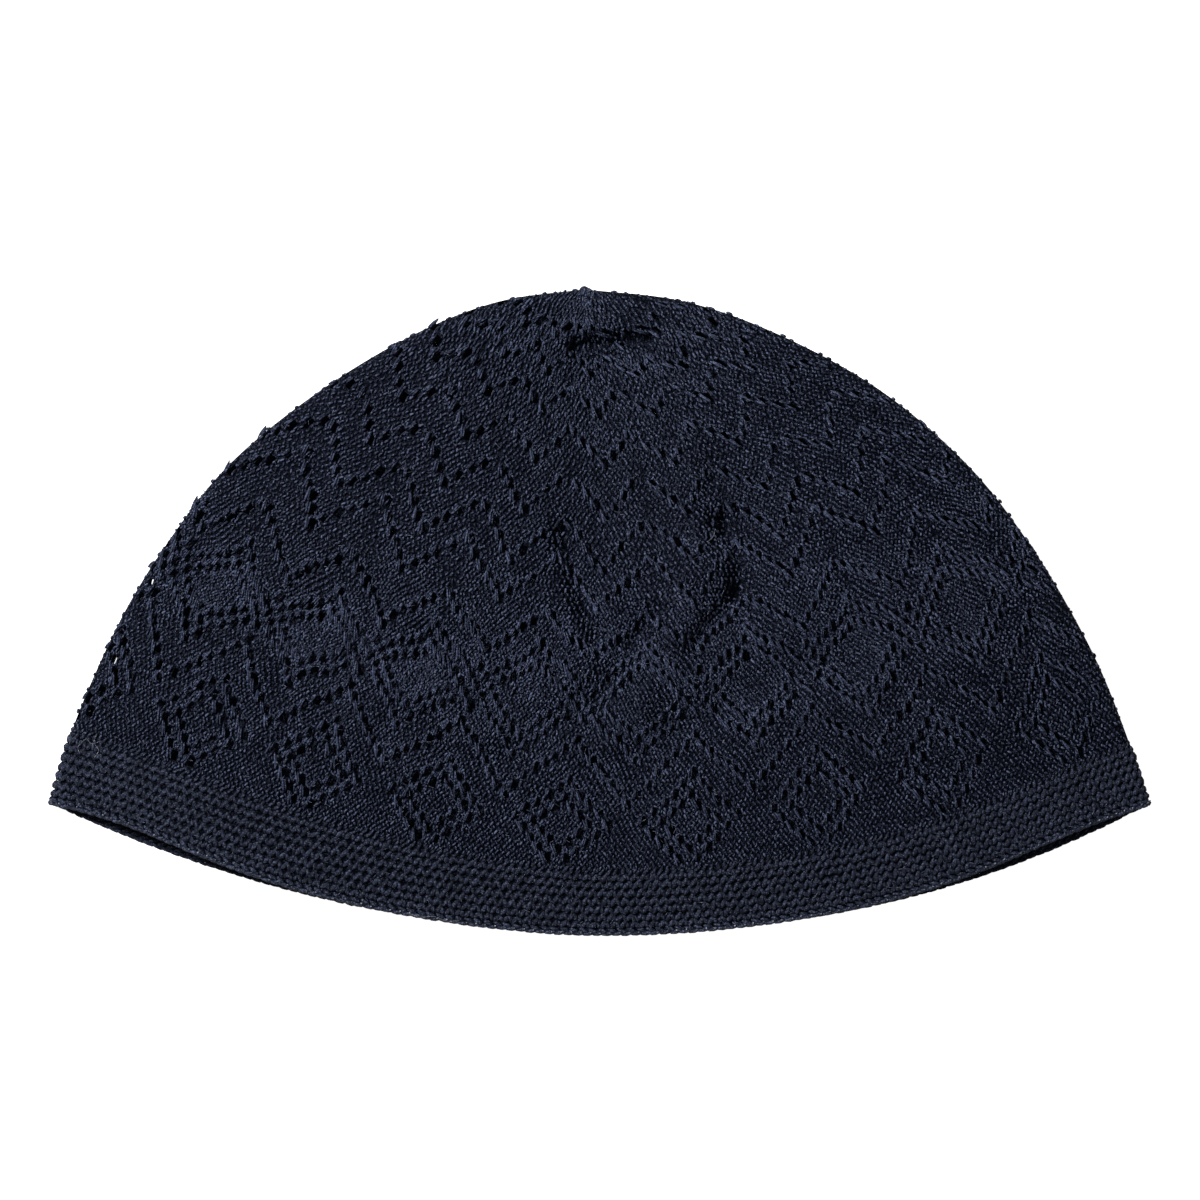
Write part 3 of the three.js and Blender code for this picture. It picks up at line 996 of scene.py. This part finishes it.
def eyelet_strands(layer):
    eyelets = EYELETS[layer]
    away = LAYERS[layer].from_fold(eyelets[:, 0], eyelets[:, 1])
    eyelets = eyelets[away > STRANDS_FROM_FOLD]
    found = []
    for row in STRANDS:
        near = eyelets[eyelets[:, 2] == row["arm"]] if row["arm"] else eyelets
        shift = row["at"][0] * near[:, 3:], row["at"][1] * near[:, 3:]
        deep = row["deep"] if layer == "front" else max(row["deep"], BACK_RIB_DEPTH)
        sizes = row["long"], row["wide"], STRAND_HEIGHT, deep
        legs = legs_at(layer, near[:, 0], near[:, 1], row["angle"], *sizes, shift, 1, row["tones"])
        found.append(legs)
    return found


for layer in LAYERS:
    shape = LONG_LEG if layer == "front" else SLIM_LEG
    part_of_cap(knit(f"strands_{layer}", shape, eyelet_strands(layer)), "lace_knit")


# ---- The ground under the legs, open at each eyelet: near black, as painted shade between the legs ----

GROUND_ZONES = table(
    "from to columns",
    (0, 62, 400),
    (62, 96, 280),
    (96, 122, 150),
)
GROUND_DEPTH = 0.78
FOLD_DEPTH = 0.42  # the ground lies nearer to the surface at the folds
FOLD_ZONE = 2.5, 8
HEM = 0.4  # the lace's ground hangs this far over the band's
LEVEL_ROW = {"lace": 60, "band": 15}  # rows of a layer's table that tell the way round the cap


def ground(name, layer, zone, material):
    """One layer's ground between two half rows of the lace."""
    surface = LAYERS[layer]
    rows = zone["to"] - zone["from"]
    columns = zone["columns"] if layer == "front" else zone["columns"] // 2
    shape, flat = grid(columns, rows)
    share = flat[:, 0] + 0.5
    row = (zone["from"] + (flat[:, 1] + 0.5) * rows) / 2
    around = surface.round_the_cap(share, LEVEL_ROW["lace"])
    up = np.array([level(r, a) for r, a in zip(row, around)])
    if zone["from"] == 0:
        up = np.where(row == 0, up - HEM, up)
    place, axis_around, axis_up, outward = surface.stand(share, up)
    deep = FOLD_DEPTH + (GROUND_DEPTH - FOLD_DEPTH) * smooth(surface.from_fold(share, up), *FOLD_ZONE)
    open_faces = unwanted_faces(shape, layer, place, axis_around, axis_up)
    move_to(shape, place - outward * deep[:, None])
    bmesh.ops.delete(shape, geom=open_faces, context="FACES")
    if surface.turn < 0:
        bmesh.ops.reverse_faces(shape, faces=shape.faces)
    return smooth_object(name, shape, material)


def unwanted_faces(shape, layer, place, around, upward):
    """The faces whose middle is in an eyelet."""
    corners = np.array([[v.index for v in face.verts] for face in shape.faces])
    middle = place[corners].mean(1)
    tree, rim = (EYELET_TREES[layer], 1.0) if layer == "front" else (OPEN_TREE, 0.8)
    reach = from_eyelet(tree, middle, around[corners].mean(1), upward[corners].mean(1))[2]
    return [face for face, away in zip(shape.faces, reach) if away < rim]


for layer in LAYERS:
    for number, zone in enumerate(GROUND_ZONES):
        # The grounds' near-black colour is painted shade.
        material = GROUND_PAINTED_SHADE if layer == "front" else SHADE_YARN
        made = ground(f"ground_{layer}_{number}", layer, zone, material)
        first = layer == "front" and number == 0
        part_of_cap(made, "lace_knit", *(["crown"] if first else []))


# ---- The band ----

BAND_MIDDLE = 9.0  # where the rounds of the band and of the edge are measured
EDGE_MIDDLE = 1.0
BAND_GROUND_DEPTH = 0.80

# Each row of whole stitches has long legs and steep shorter ones, of length fall. The grain rows over
# them close the band towards the lace.
BAND_ROWS = table(
    "at lean length fall",
    (0.880, 52, 2.4, 1.7),
    (0.770, 50, 2.9, 1.8),
    (0.645, 56, 2.9, 2.3),
    (0.520, 58, 2.9, 2.5),
    (0.398, 58, 2.8, 2.5),
    (0.280, 56, 2.6, 2.3),
    (0.175, 50, 2.3, 2.1),
)
GRAIN_ROWS = table(
    "at finer lean length width",
    (0.985, 1.5, 58, 1.3, 0.70),
    (0.945, 1.3, 54, 1.5, 0.80),
)


def stitches_round(up):
    """How many of the band's stitches go round the cap at a height."""
    return round(sum(float(surface.length(up)) for surface in LAYERS.values()) / BAND_COURSE)


def ring_of_places(count, start):
    """count places round the cap at equal distances: whether each is on the front, and its share."""
    lengths = [float(surface.length(BAND_MIDDLE)) for surface in LAYERS.values()]
    total = sum(lengths)
    along = ((np.arange(count) + start) / count * total) % total
    on_front = along < lengths[0]
    front_share = along / lengths[0]
    back_share = 1 - (along - lengths[0]) / lengths[1]
    return on_front, np.where(on_front, front_share, back_share)


def top_of_band(layer, share):
    return level(0, LAYERS[layer].round_the_cap(share, LEVEL_ROW["band"]))


def ring_legs(at, count, start, angle, length, width, height, depth, shift=(0, 0), loose=1.0):
    """Legs once round the cap, at a share of the way up the band."""
    on_front, share = ring_of_places(count, start)
    groups = []
    for layer, chosen in (("front", on_front), ("back", ~on_front)):
        up = at * top_of_band(layer, share[chosen])
        groups.append(
            legs_at(layer, share[chosen], up, angle, length, width, height, depth, shift, loose)
        )
    return groups


def band_legs():
    count = stitches_round(BAND_MIDDLE)
    groups = []
    for number, row in enumerate(BAND_ROWS):
        start = 0.3 * number
        lean, length, fall = row["lean"], row["length"], row["fall"]
        groups += ring_legs(row["at"], count, start, lean, length, 1.2, 1.25, 0.45, shift=(-0.5, 0.0))
        groups += ring_legs(row["at"], count, start, -56, fall, 1.05, 1.15, 0.55, shift=(0.5, -0.1))
    for number, row in enumerate(GRAIN_ROWS):
        grains = round(count * row["finer"])
        lean, length, width = row["lean"], row["length"], row["width"]
        groups += ring_legs(row["at"], grains, 0.5 * number, lean, length, width, 0.8, 0.55)
    return groups


part_of_cap(knit("band_stitches", BAND_LEG, band_legs()), "band_knit")


def band_ground():
    """A smooth ring of cloth under the band's stitches, near black as painted shade between them."""
    shape, flat = grid(300, 8)
    turn = np.where(flat[:, 0] + 0.5 > 0.99999, 0.0, flat[:, 0] + 0.5)
    on_front = turn < 0.5
    share = np.where(on_front, turn * 2, 2 - turn * 2)
    points = np.zeros((len(flat), 3))
    for layer, chosen in (("front", on_front), ("back", ~on_front)):
        up = EDGE_MIDDLE + (flat[chosen, 1] + 0.5) * (top_of_band(layer, share[chosen]) - HEM)
        place, _, _, outward = LAYERS[layer].stand(share[chosen], up)
        points[chosen] = place - outward * BAND_GROUND_DEPTH
    move_to(shape, points)
    bmesh.ops.remove_doubles(shape, verts=shape.verts, dist=1e-7)
    return smooth_object("band_ground", shape, GROUND_PAINTED_SHADE)


part_of_cap(band_ground(), "band_knit", "band")


# ---- The edge chain ----


def edge_legs():
    count = stitches_round(EDGE_MIDDLE)
    groups = ring_legs(0.040, count, 0.0, 5, 3.3, 0.95, 1.2, 0.5, loose=0.5)
    return groups + ring_legs(0.088, count, 0.5, -24, 2.6, 0.95, 1.1, 0.5, loose=0.8)


part_of_cap(knit("edge_stitches", EDGE_LEG, edge_legs()), "edge_knit", "edge_chain")


def edge_dots():
    """Small pale dots between the edge's loops."""
    return ring_legs(0.062, stitches_round(EDGE_MIDDLE), 0.25, 20, 0.46, 0.34, 0.5, 0.10, loose=1.6)


part_of_cap(knit("edge_dots", PALE_LEG, edge_dots()), "edge_knit")


# ---- Loose ends of yarn ----

LOOSE_THICKNESS = 0.13
LOOSE_ENDS = [
    [(-116.6, -30.8), (-118.7, -31.6), (-120.1, -30.4), (-121.5, -31.6), (-122.2, -32.4), (-121.6, -33.9)],
    [(-117.6, -29.4), (-118.2, -31.2), (-117.0, -33.0), (-118.0, -34.6)],
    [(-44.4, -70.5), (-41.6, -71.5), (-38.4, -71.3), (-35.4, -72.4), (-32.6, -72.2)],
    [(-92.2, 29.4), (-93.4, 28.8), (-92.9, 27.6), (-91.9, 28.0)],
    [(-4.4, -14.0), (-3.4, -15.2), (-3.0, -16.2)],
    [(26.6, 18.4), (26.0, 16.6), (24.6, 15.4)],
]


def loose_end(line):
    """A fine strand over the front layer, along places in plan."""
    points, length = even_line(curve_through(line), max(round(len(line) * 3), 6))
    middle = (points[1:] + points[:-1]) / 2
    on = np.array([nearest_on("front", x, y) for x, y in middle])
    place = LAYERS["front"].stand(on[:, 0], on[:, 1])[0]
    place[:, :2] = middle + np.array(SHIFT)
    place[:, 2] += 0.3
    along = np.concatenate([np.diff(points, axis=0), np.zeros((len(middle), 1))], 1)
    along /= np.linalg.norm(along, axis=1, keepdims=True)
    outward = np.tile([0.0, 0.0, 1.0], (len(middle), 1))
    step = length / len(middle)
    return {
        "place": place,
        "turn": angles_of(np.cross(along, outward), along, outward),
        "size": np.tile([LOOSE_THICKNESS, step * 1.7, LOOSE_THICKNESS], (len(middle), 1)),
        "tone": chance.uniform(0, 1, len(middle)),
    }


part_of_cap(knit("loose_ends", PALE_LEG, [loose_end(line) for line in LOOSE_ENDS]), "lace_knit")


# ---- Fluff: short hairs that stand off the yarn ----

HAIR_THICKNESS = 0.13
HAIR_DEPTH = -0.16  # outside the surface


def fluff(layer, low, high, count):
    """Hairs strewn over a layer between two heights up the wall, lying every way."""
    share = chance.uniform(0.01, 0.99, count)
    up = low + (high - low) * (1 - np.sqrt(1 - chance.uniform(0, 0.97, count)))
    angle = chance.uniform(0, 180, count)
    long = chance.uniform(0.7, 1.7, count)
    return legs_at(layer, share, up, angle, long, HAIR_THICKNESS, HAIR_THICKNESS, HAIR_DEPTH)


for layer, count in (("front", 1700), ("back", 500)):
    strewn = [fluff(layer, 20, 150, count), fluff(layer, 2, 20, count // 5)]
    part_of_cap(knit(f"fluff_{layer}", FLUFF_LEG, strewn), "lace_knit")


# ---- The tip ----


KNOT_RADIUS = 1.25
KNOT_BELOW_TIP = 0.9


def tip_knot():
    radius = KNOT_RADIUS * MM
    shape = bmesh.new()
    bmesh.ops.create_uvsphere(shape, u_segments=14, v_segments=10, radius=radius, calc_uvs=True)
    x, y = TIP[0] + SHIFT[0], TIP[1] + SHIFT[1] - KNOT_BELOW_TIP
    for vert in shape.verts:
        across, upward, along = vert.co
        vert.co = (across + x * MM, along + y * MM, upward + FOLD_RADIUS * MM)
    bmesh.ops.recalc_face_normals(shape, faces=shape.faces)
    return smooth_object("tip_knot_yarn", shape, EDGE_YARN)


part_of_cap(tip_knot(), "edge_knit", "tip_knot")

for shape in (LEG, SLIM_LEG, LONG_LEG, BAND_LEG, EDGE_LEG, PALE_LEG, FLUFF_LEG):
    bpy.data.objects.remove(shape)


# ---- Room, light and camera ----

WHITE = (1, 1, 1, 1)
FLOOR_GREY = (0.6, 0.6, 0.6, 1)  # as the light finds it
WORLD_LIGHT = 0.15
KEY_LAMP = {"place": (-0.55, 0.42, 0.92), "aim": (0, 0, 0), "size": 0.25, "power": 20.7}
CAMERA_PLACE = (0.00012, 0.0013, 0.788)
LENS = 100
SENSOR = 36


def floor():
    """A floor that the camera sees as white, whatever the light on it."""
    material, tree, shader = new_material("floor_white")
    set_inputs(shader, {"Base Color": FLOOR_GREY, "Roughness": 0.9, "Emission Color": WHITE})
    seen = tree.nodes.new("ShaderNodeLightPath")
    tree.links.new(seen.outputs["Is Camera Ray"], shader.inputs["Emission Strength"])
    shape = bmesh.new()
    bmesh.ops.create_grid(shape, x_segments=1, y_segments=1, size=3)
    smooth_object("floor", shape, material)


def lamp(name, place, aim, size, power):
    light = bpy.data.lights.new(name, "AREA")
    light.shape = "SQUARE"
    light.size = size
    light.energy = power
    made = new_object(name, light)
    made.location = place
    away = np.array(place) - np.array(aim)
    made.rotation_euler = (
        math.acos(away[2] / float(np.linalg.norm(away))),
        0,
        math.atan2(away[1], away[0]) + math.pi / 2,
    )


def room():
    floor()
    world = bpy.data.worlds.new("studio")
    bpy.context.scene.world = world
    world.use_nodes = True
    set_inputs(world.node_tree.nodes["Background"], {"Color": WHITE, "Strength": WORLD_LIGHT})
    lamp("key", **KEY_LAMP)
    view = bpy.context.scene.view_settings
    view.view_transform = "Standard"
    view.look = "None"


def camera():
    data = bpy.data.cameras.new("camera")
    data.lens = LENS
    data.sensor_width = SENSOR
    made = new_object("camera", data)
    made.location = CAMERA_PLACE
    bpy.context.scene.camera = made


room()
camera()
